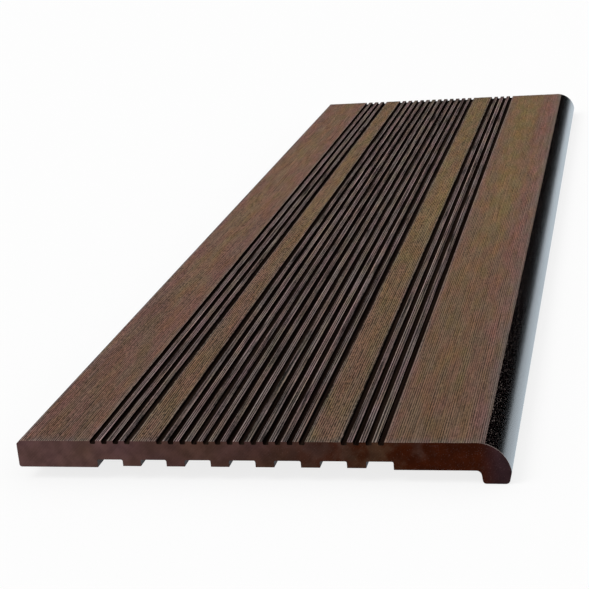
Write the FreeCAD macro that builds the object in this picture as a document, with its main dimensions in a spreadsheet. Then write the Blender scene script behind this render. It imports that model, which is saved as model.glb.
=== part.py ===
import FreeCAD, Part
import math
import os
from collections import namedtuple

import Sketcher

# Solid stair tread cut from one extruded board. Its walking face has three bands of anti-slip
# grooves, its front edge is a rounded nose with a lip that turns down, and its underside has
# relief notches between two flat bearing strips.
# Length runs along X, the nose faces -Y and the walking face looks up +Z.
# The lip's foot is at Z 0. Sizes are in millimetres.

SIZES = (
    ("length", 1200.0, "sawn length of the board"),
    ("depth", 350.0, "rear edge to the front of the nose"),
    ("thickness", 20.5, "walking face to the bearing strips"),
    ("nose_height", 30.0, "walking face to the foot of the lip"),
    ("nose_radius", 24.0, "round over the front of the walking face"),
    ("nose_drop", 21.0, "walking face to the nose's foremost line"),
    ("belly_radius", 6.0, "tighter round at the foremost line, from the nose to the lip"),
    ("toe_inset", 1.8, "foremost line to the front of the lip's foot"),
    ("heel_inset", 19.3, "foremost line to the back of the lip's foot"),
    ("root_inset", 20.5, "foremost line to the back of the lip at the underside"),
    ("toe_radius", 3.0, "front corner of the lip's foot"),
    ("heel_radius", 2.4, "back corner of the lip's foot"),
    ("root_radius", 3.5, "inside corner between the lip and the underside"),
    ("rear_chamfer", 2.6, "bevel along the top of the rear edge"),
    ("rear_radius", 1.8, "round along the bottom of the rear edge"),
    ("groove_width", 3.8, "anti-slip groove, wall to wall"),
    ("groove_depth", 2.4, "anti-slip groove, walking face to floor"),
    ("groove_radius", 0.8, "floor corners of a groove"),
    ("groove_pitch", 8.5, "groove to groove within a band"),
    ("rear_margin", 55.8, "rear edge to the first groove of the rear band"),
    ("rear_land", 19.7, "flat strip between the rear and middle bands"),
    ("front_land", 25.3, "flat strip between the middle and front bands"),
    ("rear_grooves", 4, "grooves in the rear band"),
    ("middle_grooves", 13, "grooves in the middle band"),
    ("front_grooves", 4, "grooves in the front band"),
    ("notch_margin", 59.5, "rear edge to the first relief notch"),
    ("notch_width", 18.7, "relief notch, wall to wall"),
    ("notch_depth", 6.0, "relief notch, bearing strips to its roof"),
    ("notch_radius", 1.0, "roof corners of a notch"),
    ("notch_pitch", 32.1, "notch to notch"),
    ("notches", 7, "relief notches"),
    ("rib_setback", 1.1, "how far the ribs between the notches stop short of the bearing strips"),
)

NODE = "tread"
UP = FreeCAD.Vector(0, 0, 1)
ORIGIN = (-1, 1)
ACROSS = -1
CENTRE = 3

# One side of a closed outline: a line, or an arc where a centre is given. A smooth side runs
# tangent into the next one.
Side = namedtuple("Side", "start finish centre smooth")

# A long channel cut along the board, with its sizes as sheet expressions. It is measured from
# the rear edge, and opens up through the walking face or down through the underside.
Channel = namedtuple("Channel", "name start width depth radius mouth opens_up")


def point(across, up):
    """A point of the board's section."""
    return FreeCAD.Vector(across, up, 0)


def write_sheet(doc):
    """Puts every driving size in a sheet, one named cell each."""
    sheet = doc.addObject("Spreadsheet::Sheet", "Sizes")
    for row, (name, value, meaning) in enumerate(SIZES, start=1):
        sheet.set(f"A{row}", meaning)
        sheet.set(f"B{row}", str(value))
        sheet.setAlias(f"B{row}", name)
    doc.recompute()
    return sheet


def section_sketch(body, name):
    """An empty sketch on the plane across the middle of the board."""
    sketch = body.newObject("Sketcher::SketchObject", name)
    plane = next(item for item in body.Origin.OriginFeatures if item.Role == "YZ_Plane")
    sketch.AttachmentSupport = [(plane, "")]
    sketch.MapMode = "FlatFace"
    return sketch


def side_shape(side):
    """The curve of one side, and which of its ends the outline starts and leaves it by."""
    if side.centre is None:
        return Part.LineSegment(side.start, side.finish), 1, 2
    begin = side.start - side.centre
    end = side.finish - side.centre
    circle = Part.Circle(side.centre, UP, begin.Length)
    begin_angle = math.atan2(begin.y, begin.x)
    end_angle = math.atan2(end.y, end.x)
    if begin.cross(end).z > 0:
        return Part.ArcOfCircle(circle, begin_angle, end_angle), 1, 2
    return Part.ArcOfCircle(circle, end_angle, begin_angle), 2, 1


def add_outline(sketch, sides):
    """Draws a closed outline. Returns each side as (index, first end, last end)."""
    drawn = []
    for side in sides:
        shape, first, last = side_shape(side)
        drawn.append((sketch.addGeometry(shape), first, last))
    for number, side in enumerate(sides):
        index, _, last = drawn[number]
        after, first, _ = drawn[(number + 1) % len(sides)]
        join = "Tangent" if side.smooth else "Coincident"
        sketch.addConstraint(Sketcher.Constraint(join, index, last, after, first))
    return drawn


def drive(sketch, expression, kind, *places):
    """Adds a dimension whose value follows the sheet."""
    value = float(sketch.evalExpression(expression))
    number = sketch.addConstraint(Sketcher.Constraint(kind, *places, value))
    sketch.setExpression(f"Constraints[{number}]", expression)


def draw_section(body, sheet):
    """The board's section: a compound round nose, and square corners everywhere else."""
    sketch = section_sketch(body, "section")
    rear = sheet.depth / 2
    nose = -sheet.depth / 2
    top = sheet.nose_height
    under = top - sheet.thickness
    toe = point(nose + sheet.toe_inset, 0)
    heel = point(nose + sheet.heel_inset, 0)
    root = point(nose + sheet.root_inset, under)
    rear_top = point(rear, top)
    rear_bottom = point(rear, under)
    belly_centre = point(nose + sheet.belly_radius, top - sheet.nose_drop)
    spread = sheet.nose_radius - sheet.belly_radius
    rise = sheet.nose_radius - sheet.nose_drop
    reach = math.sqrt(spread**2 - rise**2)
    nose_centre = point(belly_centre.x + reach, top - sheet.nose_radius)
    round_start = point(nose_centre.x, top)
    round_end = belly_centre + (belly_centre - nose_centre) * (sheet.belly_radius / spread)
    to_belly = belly_centre - toe
    lean = math.atan2(to_belly.y, to_belly.x) - math.acos(sheet.belly_radius / to_belly.Length)
    belly_end = belly_centre - point(math.cos(lean), math.sin(lean)) * sheet.belly_radius
    walking, nosing, belly, front, foot, back, underside, rear_edge = add_outline(sketch, (
        Side(rear_top, round_start, None, True),
        Side(round_start, round_end, nose_centre, True),
        Side(round_end, belly_end, belly_centre, True),
        Side(belly_end, toe, None, False),
        Side(toe, heel, None, False),
        Side(heel, root, None, False),
        Side(root, rear_bottom, None, False),
        Side(rear_bottom, rear_top, None, False),
    ))
    nose_mark = sketch.addGeometry(Part.Point(point(nose, 0)), True)
    for level in (walking, foot, underside):
        sketch.addConstraint(Sketcher.Constraint("Horizontal", level[0]))
    sketch.addConstraint(Sketcher.Constraint("Vertical", rear_edge[0]))
    sketch.addConstraint(Sketcher.Constraint("PointOnObject", foot[0], 1, ACROSS))
    sketch.addConstraint(Sketcher.Constraint("PointOnObject", nose_mark, 1, ACROSS))
    drive(sketch, "Sizes.depth / 2", "DistanceX", *ORIGIN, rear_edge[0], 1)
    drive(sketch, "Sizes.depth / 2", "DistanceX", nose_mark, 1, *ORIGIN)
    drive(sketch, "Sizes.nose_height", "DistanceY", *ORIGIN, rear_edge[0], 2)
    drive(sketch, "Sizes.thickness", "DistanceY", rear_edge[0], 1, rear_edge[0], 2)
    drive(sketch, "Sizes.nose_radius", "Radius", nosing[0])
    drive(sketch, "Sizes.belly_radius", "Radius", belly[0])
    drive(sketch, "Sizes.belly_radius", "DistanceX", nose_mark, 1, belly[0], CENTRE)
    drive(sketch, "Sizes.nose_drop", "DistanceY", belly[0], CENTRE, walking[0], 1)
    drive(sketch, "Sizes.toe_inset", "DistanceX", nose_mark, 1, front[0], 2)
    drive(sketch, "Sizes.heel_inset", "DistanceX", nose_mark, 1, foot[0], 2)
    drive(sketch, "Sizes.root_inset", "DistanceX", nose_mark, 1, back[0], 2)
    return sketch


def long_edge(feature, across, up):
    """The name of the edge that runs the length of the board at this place in its section."""
    for number, edge in enumerate(feature.Shape.Edges, start=1):
        box = edge.BoundBox
        miss = math.hypot(box.Center.y - across, box.Center.z - up)
        if box.XLength > 1 and miss < 0.05:
            return f"Edge{number}"
    raise RuntimeError(f"no long edge at {across}, {up}")


def ease_edge(body, kind, name, size, across, up):
    """Rounds or bevels one long edge of the board."""
    base = body.Tip
    edge = long_edge(base, across, up)
    feature = body.newObject(f"PartDesign::{kind}", name)
    feature.Base = (base, [edge])
    feature.setExpression("Size" if kind == "Chamfer" else "Radius", f"Sizes.{size}")
    body.Document.recompute()


def ease_long_edges(body, sheet):
    """Eases the lip's corners and both corners of the rear edge."""
    rear = sheet.depth / 2
    nose = -sheet.depth / 2
    top = sheet.nose_height
    under = top - sheet.thickness
    ease_edge(body, "Fillet", "toe", "toe_radius", nose + sheet.toe_inset, 0)
    ease_edge(body, "Fillet", "heel", "heel_radius", nose + sheet.heel_inset, 0)
    ease_edge(body, "Fillet", "root", "root_radius", nose + sheet.root_inset, under)
    ease_edge(body, "Chamfer", "rear_bevel", "rear_chamfer", rear, top)
    ease_edge(body, "Fillet", "rear_round", "rear_radius", rear, under)


def draw_channel(body, channel):
    """One channel's section: two walls, a floor with rounded corners and an open mouth."""
    sketch = section_sketch(body, f"{channel.name}_section")
    measure = sketch.evalExpression
    rear = float(measure("Sizes.depth / 2"))
    wall = rear - float(measure(channel.start))
    far_wall = wall - float(measure(channel.width))
    mouth = float(measure(channel.mouth))
    radius = float(measure(channel.radius))
    inward = -1 if channel.opens_up else 1
    floor = mouth + inward * float(measure(channel.depth))
    turn = floor - inward * radius
    near_centre = point(wall - radius, turn)
    far_centre = point(far_wall + radius, turn)
    near, corner, base, far_corner, far, opening = add_outline(sketch, (
        Side(point(wall, mouth), point(wall, turn), None, True),
        Side(point(wall, turn), point(wall - radius, floor), near_centre, True),
        Side(point(wall - radius, floor), point(far_wall + radius, floor), None, True),
        Side(point(far_wall + radius, floor), point(far_wall, turn), far_centre, True),
        Side(point(far_wall, turn), point(far_wall, mouth), None, False),
        Side(point(far_wall, mouth), point(wall, mouth), None, False),
    ))
    rear_mark = sketch.addGeometry(Part.Point(point(rear, 0)), True)
    for upright in (near, far):
        sketch.addConstraint(Sketcher.Constraint("Vertical", upright[0]))
    for level in (base, opening):
        sketch.addConstraint(Sketcher.Constraint("Horizontal", level[0]))
    sketch.addConstraint(Sketcher.Constraint("Equal", corner[0], far_corner[0]))
    sketch.addConstraint(Sketcher.Constraint("PointOnObject", rear_mark, 1, ACROSS))
    lower, upper = (base, opening) if channel.opens_up else (opening, base)
    drive(sketch, "Sizes.depth / 2", "DistanceX", *ORIGIN, rear_mark, 1)
    drive(sketch, channel.start, "DistanceX", near[0], 1, rear_mark, 1)
    drive(sketch, channel.width, "DistanceX", far[0], 2, near[0], 1)
    drive(sketch, channel.depth, "DistanceY", lower[0], 1, upper[0], 1)
    drive(sketch, channel.mouth, "DistanceY", *ORIGIN, opening[0], 1)
    drive(sketch, channel.radius, "Radius", corner[0])
    return sketch


def cut_channel(body, channel):
    """Cuts one channel from end to end of the board."""
    before = body.Tip.Shape.Volume
    sketch = draw_channel(body, channel)
    body.Document.recompute()
    pocket = body.newObject("PartDesign::Pocket", channel.name)
    pocket.Profile = sketch
    pocket.Type = "ThroughAll"
    pocket.SideType = "Symmetric"
    body.Document.recompute()
    length = float(sketch.evalExpression("Sizes.length"))
    expected = Part.Face(sketch.Shape.Wires[0]).Area * length
    removed = before - pocket.Shape.Volume
    if removed < 0.2 * expected:
        raise RuntimeError(f"{channel.name} cuts {removed} of {expected} cubic mm")
    return sketch, pocket


def repeat_forward(body, name, sketch, pocket, pitch, count):
    """Repeats a channel at equal steps from the rear of the board towards its nose."""
    pattern = body.newObject("PartDesign::LinearPattern", name)
    pattern.Originals = [pocket]
    pattern.Direction = (sketch, ["H_Axis"])
    pattern.Reversed = True
    pattern.Mode = "Spacing"
    pattern.setExpression("Offset", pitch)
    pattern.setExpression("Occurrences", count)
    body.Tip = pattern
    body.Document.recompute()


def cut_grooves(body):
    """The three bands of anti-slip grooves, each placed from the one behind it."""
    start = "Sizes.rear_margin"
    for band, land in (("rear", "rear_land"), ("middle", "front_land"), ("front", None)):
        groove = Channel(
            f"{band}_groove", start, "Sizes.groove_width", "Sizes.groove_depth",
            "Sizes.groove_radius", "Sizes.nose_height", True,
        )
        sketch, pocket = cut_channel(body, groove)
        count = f"Sizes.{band}_grooves"
        repeat_forward(body, f"{band}_band", sketch, pocket, "Sizes.groove_pitch", count)
        start += f" + ({count} - 1) * Sizes.groove_pitch + Sizes.groove_width + Sizes.{land}"


def cut_underside(body):
    """The relief notches, and the step that holds the ribs between them off the bearing strips."""
    under = "Sizes.nose_height - Sizes.thickness"
    field_width = "(Sizes.notches - 1) * Sizes.notch_pitch + Sizes.notch_width"
    notch = Channel(
        "notch", "Sizes.notch_margin", "Sizes.notch_width", "Sizes.notch_depth",
        "Sizes.notch_radius", under, False,
    )
    rib_step = Channel(
        "rib_step", "Sizes.notch_margin", field_width, "Sizes.rib_setback",
        "Sizes.rib_setback / 2", under, False,
    )
    cut_channel(body, rib_step)
    sketch, pocket = cut_channel(body, notch)
    repeat_forward(body, "notch_row", sketch, pocket, "Sizes.notch_pitch", "Sizes.notches")


def check_document(doc, body):
    """Stops unless every object built cleanly and the board is one sound solid."""
    for item in doc.Objects:
        if "Invalid" in item.State or "Error" in item.State:
            raise RuntimeError(f"{item.Name} did not build: {item.State}")
        shape = getattr(item, "Shape", None)
        if item.isDerivedFrom("PartDesign::Feature") and (shape.isNull() or not shape.isValid()):
            raise RuntimeError(f"{item.Name} has no sound shape")
    if len(body.Shape.Solids) != 1 or not body.Shape.isValid():
        raise RuntimeError("the board is not one sound solid")


def build():
    """Builds the board and writes its solid."""
    doc = FreeCAD.newDocument("stair_tread")
    sheet = write_sheet(doc)
    body = doc.addObject("PartDesign::Body", NODE)
    body.Label = NODE
    sketch = draw_section(body, sheet)
    doc.recompute()
    board = body.newObject("PartDesign::Pad", "board")
    board.Profile = sketch
    board.SideType = "Symmetric"
    board.setExpression("Length", "Sizes.length")
    doc.recompute()
    ease_long_edges(body, sheet)
    cut_grooves(body)
    cut_underside(body)
    doc.recompute()
    check_document(doc, body)
    os.makedirs("parts", exist_ok=True)
    body.Shape.exportStep(f"parts/{NODE}.step")
    box = body.Shape.BoundBox
    print(f"{NODE}: {box.XLength:.2f} x {box.YLength:.2f} x {box.ZLength:.2f} mm")
    print(f"{NODE}: volume {body.Shape.Volume:.0f} cubic mm, {len(body.Shape.Faces)} faces")


build()
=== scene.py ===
"""Dresses a composite stair tread: brushed walking face, dark moulded nose and sawn ends."""

import logging
import math
from abc import ABC, abstractmethod
from dataclasses import dataclass
from enum import Enum

import bpy
import numpy as np
from mathutils import Matrix, Vector
from mathutils.geometry import delaunay_2d_cdt


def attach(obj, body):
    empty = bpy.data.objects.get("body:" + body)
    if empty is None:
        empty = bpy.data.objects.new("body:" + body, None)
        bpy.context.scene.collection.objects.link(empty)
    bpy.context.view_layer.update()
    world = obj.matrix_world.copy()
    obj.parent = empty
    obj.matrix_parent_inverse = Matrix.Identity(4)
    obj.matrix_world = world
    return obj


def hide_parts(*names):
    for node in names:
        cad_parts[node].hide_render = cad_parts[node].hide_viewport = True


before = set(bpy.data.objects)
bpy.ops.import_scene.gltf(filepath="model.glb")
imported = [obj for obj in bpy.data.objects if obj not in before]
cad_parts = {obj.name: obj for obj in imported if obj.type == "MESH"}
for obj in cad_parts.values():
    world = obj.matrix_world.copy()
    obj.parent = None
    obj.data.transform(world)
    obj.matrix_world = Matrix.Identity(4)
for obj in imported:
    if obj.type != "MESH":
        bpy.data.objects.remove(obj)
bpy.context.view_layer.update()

LOG = logging.getLogger("stair_tread")
MM = 0.001
ARRIS_MASK = "arris"
UNROLLED_MAP = "OFBake"

Colour = tuple[float, float, float]
Spot = tuple[float, float, float]
Point = tuple[float, float]
Socket = bpy.types.NodeSocket
Value = float | tuple[float, ...] | bpy.types.NodeSocket

WHITE: Colour = (1.0, 1.0, 1.0)


def add_object(name: str, data: bpy.types.ID) -> bpy.types.Object:
    """Adds one object to the scene.

    Args:
        name: Name of the object.
        data: Its mesh, lamp or camera.

    Returns:
        The new object.
    """
    made = bpy.data.objects.new(name, data)
    bpy.context.scene.collection.objects.link(made)
    return made


class Zone(Enum):
    """The strips of the board's surface that each take a finish of their own."""

    BRUSHED = "brushed_face"
    LAND = "brushed_land"
    RIB = "rib_top"
    GROOVE = "groove_skin"
    NOSE = "nose_skin"
    MOULDED = "moulded_skin"
    SAWN = "sawn_end"

    @property
    def slot(self) -> int:
        """The material slot that this zone uses."""
        return list(Zone).index(self)


@dataclass(frozen=True)
class Corner:
    """One rounded corner of the section and the run of surface that leaves it.

    Attributes:
        y: Place across the board in mm, positive towards the rear.
        z: Height above the foot of the lip in mm.
        radius: Radius of the rounded corner in mm.
        turn: Zone of the rounded corner itself.
        run: Zone of the run up to the next corner.
        step: Largest distance between two points of that run in mm.
    """

    y: float
    z: float
    radius: float
    turn: Zone
    run: Zone
    step: float

    @property
    def tip(self) -> np.ndarray:
        """Where the corner would be if it were sharp."""
        return np.array((self.y, self.z))


@dataclass
class Outline:
    """The section as a closed ring of points.

    Attributes:
        points: The ring in mm, one row of y and z for each point.
        zones: Zone of the strip that follows each point.
        room: Deepest mark in mm that each point has room for beside a sharp corner.
    """

    points: np.ndarray
    zones: list[Zone]
    room: np.ndarray

    ARC_STEP = 0.8
    ROOM_SHARE = 0.6
    SHORTEST_RUN = 1e-6

    @classmethod
    def trace(cls, corners: list[Corner]) -> "Outline":
        """Rounds every corner and divides every run.

        Args:
            corners: The section's corners, anticlockwise seen from +X.

        Returns:
            The closed ring of points with its zones.
        """
        arcs = [
            cls.arc(corners[place - 1], corner, corners[(place + 1) % len(corners)])
            for place, corner in enumerate(corners)
        ]
        points: list[np.ndarray] = []
        zones: list[Zone] = []
        room: list[float] = []
        for arc, next_arc, corner in zip(arcs, arcs[1:] + arcs[:1], corners):
            points.extend(arc[:-1])
            zones.extend([corner.turn] * (len(arc) - 1))
            room.extend([corner.radius * cls.ROOM_SHARE] * (len(arc) - 1))
            start, end = arc[-1], next_arc[0]
            length = float(np.linalg.norm(end - start))
            if length < cls.SHORTEST_RUN:
                continue
            count = max(1, math.ceil(length / corner.step))
            points.extend(start + (end - start) * (part / count) for part in range(count))
            zones.extend([corner.run] * count)
            room.extend([math.inf] * count)
        made = cls(np.array(points), zones, np.array(room))
        made.spread_room()
        return made

    def spread_room(self) -> None:
        """Lets the room for marks grow gently with the distance from each corner."""
        gaps = np.diff(self.distances()) * self.ROOM_SHARE
        count = len(gaps)
        for place in range(2 * count):
            here, back = place % count, (place - 1) % count
            self.room[here] = min(self.room[here], self.room[back] + gaps[back])
        for place in reversed(range(2 * count)):
            here, ahead = place % count, (place + 1) % count
            self.room[here] = min(self.room[here], self.room[ahead] + gaps[here])

    @classmethod
    def arc(cls, before: Corner, corner: Corner, after: Corner) -> np.ndarray:
        """Points of one rounded corner.

        Args:
            before: The corner that the outline comes from.
            corner: The corner to round.
            after: The corner that the outline goes to.

        Returns:
            Points from the arc's start to its end, both included.
        """
        come, leave = corner.tip - before.tip, after.tip - corner.tip
        come /= np.linalg.norm(come)
        leave /= np.linalg.norm(leave)
        turn = math.atan2(come[0] * leave[1] - come[1] * leave[0], float(come @ leave))
        start = corner.tip - come * corner.radius * math.tan(abs(turn) / 2)
        inward = np.array((-come[1], come[0])) * math.copysign(1.0, turn)
        centre = start + inward * corner.radius
        count = max(2, math.ceil(abs(turn) * corner.radius / cls.ARC_STEP))
        angles = np.linspace(0.0, turn, count + 1)
        spoke = start - centre
        y = centre[0] + spoke[0] * np.cos(angles) - spoke[1] * np.sin(angles)
        z = centre[1] + spoke[0] * np.sin(angles) + spoke[1] * np.cos(angles)
        return np.stack((y, z), axis=1)

    def outward(self) -> np.ndarray:
        """Unit normals at the points, out of the material.

        Returns:
            One row of y and z for each point.
        """
        ahead = np.roll(self.points, -1, axis=0) - self.points
        ahead /= np.linalg.norm(ahead, axis=1, keepdims=True)
        along = ahead + np.roll(ahead, 1, axis=0)
        along /= np.linalg.norm(along, axis=1, keepdims=True)
        return np.stack((along[:, 1], -along[:, 0]), axis=1)

    def distances(self) -> np.ndarray:
        """Distance of each point along the ring in mm, with the whole length last."""
        ahead = np.roll(self.points, -1, axis=0) - self.points
        return np.concatenate(((0.0,), np.cumsum(np.linalg.norm(ahead, axis=1))))


@dataclass(frozen=True)
class TreadSection:
    """The board's section, in mm.

    Attributes:
        depth: Rear edge to the foremost line of the nose.
        nose_height: Walking face to the foot of the lip.
        thickness: Walking face to the bearing strips.
        nose_radius: Round over the front of the walking face.
        nose_drop: Walking face to the nose's foremost line.
        belly_radius: Tighter round at the foremost line.
        toe_inset: Foremost line to the front of the lip's foot.
        heel_inset: Foremost line to the back of the lip's foot.
        root_inset: Foremost line to the back of the lip at the underside.
        toe_radius: Front corner of the lip's foot.
        heel_radius: Back corner of the lip's foot.
        root_radius: Inside corner between the lip and the underside.
        rear_chamfer: Bevel along the top of the rear edge.
        rear_radius: Round along the bottom of the rear edge.
        groove_width: Wall to wall of a groove.
        groove_depth: Walking face to a groove's floor.
        groove_radius: Floor corners of a groove.
        groove_pitch: Groove to groove within a band.
        rear_margin: Rear edge to the first groove.
        rear_land: Flat strip between the rear and middle bands.
        front_land: Flat strip between the middle and front bands.
        rear_grooves: Grooves in the rear band.
        middle_grooves: Grooves in the middle band.
        front_grooves: Grooves in the front band.
        notch_margin: Rear edge to the first notch.
        notch_width: Wall to wall of a notch.
        notch_depth: Bearing strips to a notch's roof.
        notch_radius: Roof corners of a notch.
        notch_pitch: Notch to notch.
        notches: How many notches there are.
        rib_setback: How far the ribs between notches stop short of the bearing strips.
        bevel_foot: Ease at the foot of the rear edge's bevel.
        bevel_crown: Ease at the top of that bevel.
        arris: Ease that brushing leaves along the grooves' mouths.
        brushed_inset: Foremost line of the nose to the end of the wholly brushed face.
        face_step: Spacing of points over the brushed face.
        rib_step: Spacing of points over the ribs between grooves.
        skin_step: Spacing of points over the plain moulded skin.
    """

    depth: float = 350.0
    nose_height: float = 30.0
    thickness: float = 20.5
    nose_radius: float = 24.0
    nose_drop: float = 21.0
    belly_radius: float = 6.0
    toe_inset: float = 1.8
    heel_inset: float = 19.3
    root_inset: float = 20.5
    toe_radius: float = 3.0
    heel_radius: float = 2.4
    root_radius: float = 3.5
    rear_chamfer: float = 2.6
    rear_radius: float = 1.8
    groove_width: float = 3.8
    groove_depth: float = 2.4
    groove_radius: float = 0.8
    groove_pitch: float = 8.5
    rear_margin: float = 55.8
    rear_land: float = 19.7
    front_land: float = 25.3
    rear_grooves: int = 4
    middle_grooves: int = 13
    front_grooves: int = 4
    notch_margin: float = 59.5
    notch_width: float = 18.7
    notch_depth: float = 6.0
    notch_radius: float = 1.0
    notch_pitch: float = 32.1
    notches: int = 7
    rib_setback: float = 1.1
    bevel_foot: float = 0.5
    bevel_crown: float = 0.7
    arris: float = 0.25
    brushed_inset: float = 19.5
    face_step: float = 1.15
    rib_step: float = 0.9
    skin_step: float = 4.5

    @property
    def rear(self) -> float:
        """Place of the rear edge."""
        return self.depth / 2

    @property
    def front(self) -> float:
        """Place of the foremost line of the nose."""
        return -self.depth / 2

    @property
    def brushed_end(self) -> float:
        """Place where the wholly brushed face ends above the nose."""
        return self.front + self.brushed_inset

    @property
    def under(self) -> float:
        """Height of the bearing strips."""
        return self.nose_height - self.thickness

    def groove_walls(self) -> list[Point]:
        """Rear and front wall of every groove, from the rear edge to the nose.

        Returns:
            Two places across the board for each groove.
        """
        walls: list[Point] = []
        start = self.rear_margin
        for count, land in (
            (self.rear_grooves, self.rear_land),
            (self.middle_grooves, self.front_land),
            (self.front_grooves, 0.0),
        ):
            for place in range(count):
                wall = self.rear - start - place * self.groove_pitch
                walls.append((wall, wall - self.groove_width))
            start += (count - 1) * self.groove_pitch + self.groove_width + land
        return walls

    def nose_corners(self) -> list[Corner]:
        """The two corners whose arcs meet as the compound nose, then the lip's corners.

        Returns:
            The corners, from the walking face to the underside.
        """
        top = self.nose_height
        belly = np.array((self.front + self.belly_radius, top - self.nose_drop))
        spread = self.nose_radius - self.belly_radius
        reach = math.sqrt(spread**2 - (self.nose_radius - self.nose_drop) ** 2)
        centre = np.array((belly[0] + reach, top - self.nose_radius))
        spoke = (belly - centre) / spread
        joint = centre + spoke * self.nose_radius
        fall = np.array((-spoke[1], spoke[0]))
        crown = joint + fall * ((top - joint[1]) / fall[1])
        toe = np.array((self.front + self.toe_inset, 0.0))
        to_belly = belly - toe
        lean = math.atan2(to_belly[1], to_belly[0]) - math.acos(
            self.belly_radius / float(np.linalg.norm(to_belly))
        )
        face = np.array((-math.sin(lean), math.cos(lean)))
        gap = joint - toe
        along = (gap[0] * fall[1] - gap[1] * fall[0]) / (face[0] * fall[1] - face[1] * fall[0])
        bow = toe + face * along
        heel, root = self.front + self.heel_inset, self.front + self.root_inset
        nose, skin, step = Zone.NOSE, Zone.MOULDED, self.skin_step / 2
        return [
            Corner(crown[0], crown[1], self.nose_radius, nose, nose, step),
            Corner(bow[0], bow[1], self.belly_radius, nose, nose, step),
            Corner(toe[0], 0.0, self.toe_radius, nose, skin, step),
            Corner(heel, 0.0, self.heel_radius, skin, skin, step),
            Corner(root, self.under, self.root_radius, skin, skin, self.skin_step),
        ]

    def top_corners(self) -> list[Corner]:
        """The rear edge, its bevel and every groove, as far as the nose.

        Returns:
            The corners, from the foot of the rear edge to the last groove.
        """
        top, floor = self.nose_height, self.nose_height - self.groove_depth
        skin, groove, step = Zone.MOULDED, Zone.GROOVE, self.face_step
        foot, crown = top - self.rear_chamfer, self.rear - self.rear_chamfer
        corners = [
            Corner(self.rear, self.under, self.rear_radius, skin, skin, self.skin_step),
            Corner(self.rear, foot, self.bevel_foot, skin, skin, step),
            Corner(crown, top, self.bevel_crown, skin, Zone.BRUSHED, step),
        ]
        walls = self.groove_walls()
        band_ends = {
            self.rear_grooves - 1: Zone.LAND,
            self.rear_grooves + self.middle_grooves - 1: Zone.LAND,
            len(walls) - 1: Zone.BRUSHED,
        }
        for place, (wall, far_wall) in enumerate(walls):
            after = band_ends.get(place, Zone.RIB)
            after_step = self.rib_step if after is Zone.RIB else self.face_step
            corners += [
                Corner(wall, top, self.arris, groove, groove, self.groove_depth),
                Corner(wall, floor, self.groove_radius, groove, groove, self.rib_step),
                Corner(far_wall, floor, self.groove_radius, groove, groove, self.groove_depth),
                Corner(far_wall, top, self.arris, groove, after, after_step),
            ]
        return corners

    def notch_corners(self) -> list[Corner]:
        """The relief notches and the ribs between them, from the lip to the rear edge.

        Returns:
            Four corners for each notch.
        """
        skin, roof = Zone.MOULDED, self.under + self.notch_depth
        ribs = self.under + self.rib_setback
        corners: list[Corner] = []
        for place in reversed(range(self.notches)):
            wall = self.rear - self.notch_margin - place * self.notch_pitch
            far_wall = wall - self.notch_width
            into = self.under if place == self.notches - 1 else ribs
            out = self.under if place == 0 else ribs
            corners += [
                Corner(far_wall, into, self.arris, skin, skin, self.notch_depth),
                Corner(far_wall, roof, self.notch_radius, skin, skin, self.skin_step),
                Corner(wall, roof, self.notch_radius, skin, skin, self.notch_depth),
                Corner(wall, out, self.arris, skin, skin, self.skin_step),
            ]
        return corners

    def outline(self) -> Outline:
        """The whole section as a ring of points, brushed over the nose's shoulder.

        Returns:
            The closed ring with its zones.
        """
        made = Outline.trace(self.top_corners() + self.nose_corners() + self.notch_corners())
        made.zones = [
            Zone.BRUSHED if zone is Zone.NOSE and point[0] > self.brushed_end else zone
            for zone, point in zip(made.zones, made.points)
        ]
        return made


@dataclass(frozen=True)
class StreakField:
    """Seeded noise in long thin cells, as a wire brush or a die leaves along the board.

    Attributes:
        seed: Seed of the noise.
        length: Length of a cell along the board in mm.
        width: Width of a cell across the board in mm.
        depth: Deepest mark in mm.
    """

    seed: int
    length: float
    width: float
    depth: float

    CELLS = 128

    def cut(self, along: np.ndarray, across: np.ndarray) -> np.ndarray:
        """Depth of the marks over a grid.

        Args:
            along: Places along the board in mm.
            across: Places across the board in mm.

        Returns:
            Depths in mm, one row for each place along the board.
        """
        noise = np.random.default_rng(self.seed)
        lattice = noise.uniform(0.0, self.depth, (self.CELLS, self.CELLS))
        shift = noise.uniform(0.0, self.CELLS, self.CELLS)
        row = across / self.width
        low = np.floor(row).astype(int)
        share = self.smooth(row - low)
        near, far = (self.one_row(lattice, shift, along, rows) for rows in (low, low + 1))
        return near + (far - near) * share

    def one_row(
        self, lattice: np.ndarray, shift: np.ndarray, along: np.ndarray, rows: np.ndarray
    ) -> np.ndarray:
        """Depths along the given rows of cells.

        Args:
            lattice: Depths at the corners of the cells.
            shift: How far each row of cells is moved along the board.
            along: Places along the board in mm.
            rows: The row of cells for each place across the board.

        Returns:
            Depths in mm, one row for each place along the board.
        """
        rows = rows % self.CELLS
        place = along[:, None] / self.length + shift[rows][None, :]
        cell = np.floor(place).astype(int)
        share = self.smooth(place - cell)
        first = lattice[rows, cell % self.CELLS]
        return first + (lattice[rows, (cell + 1) % self.CELLS] - first) * share

    @staticmethod
    def smooth(share: np.ndarray) -> np.ndarray:
        """Eases a share from 0 to 1."""
        return share * share * (3.0 - 2.0 * share)


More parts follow.
